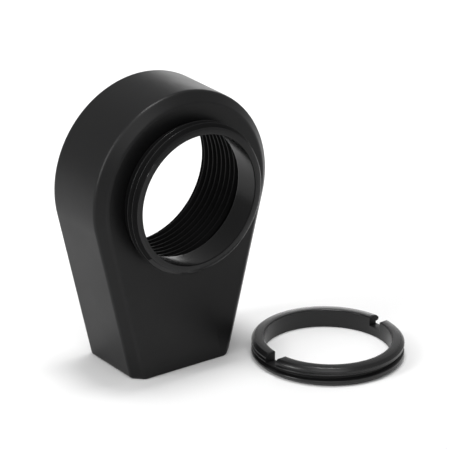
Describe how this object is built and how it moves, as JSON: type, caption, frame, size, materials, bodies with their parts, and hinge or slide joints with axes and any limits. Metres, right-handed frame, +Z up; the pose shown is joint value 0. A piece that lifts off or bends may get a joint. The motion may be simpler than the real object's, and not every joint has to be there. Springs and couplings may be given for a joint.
{
  "type": "optical lens mount",
  "caption": "Black anodised tear-shaped plate on a flat foot, bored and threaded through for a small round lens, with a threaded nose and a loose slotted retaining ring.",
  "frame": {"origin": "mouth of the threaded post hole, in the middle of the foot's underside", "axes": "+Z up through the post hole, bore along Y with the threaded nose towards -Y, foot across X"},
  "size_m": [0.0277, 0.019, 0.0254],
  "materials": {
    "anodised_body": "fine-blasted and anodised black, satin",
    "anodised_ring": "turned and anodised black, satin"
  },
  "bodies": {
    "root": {"mount_body": "anodised_body", "retaining_ring": "anodised_ring"}
  },
  "joints": []
}
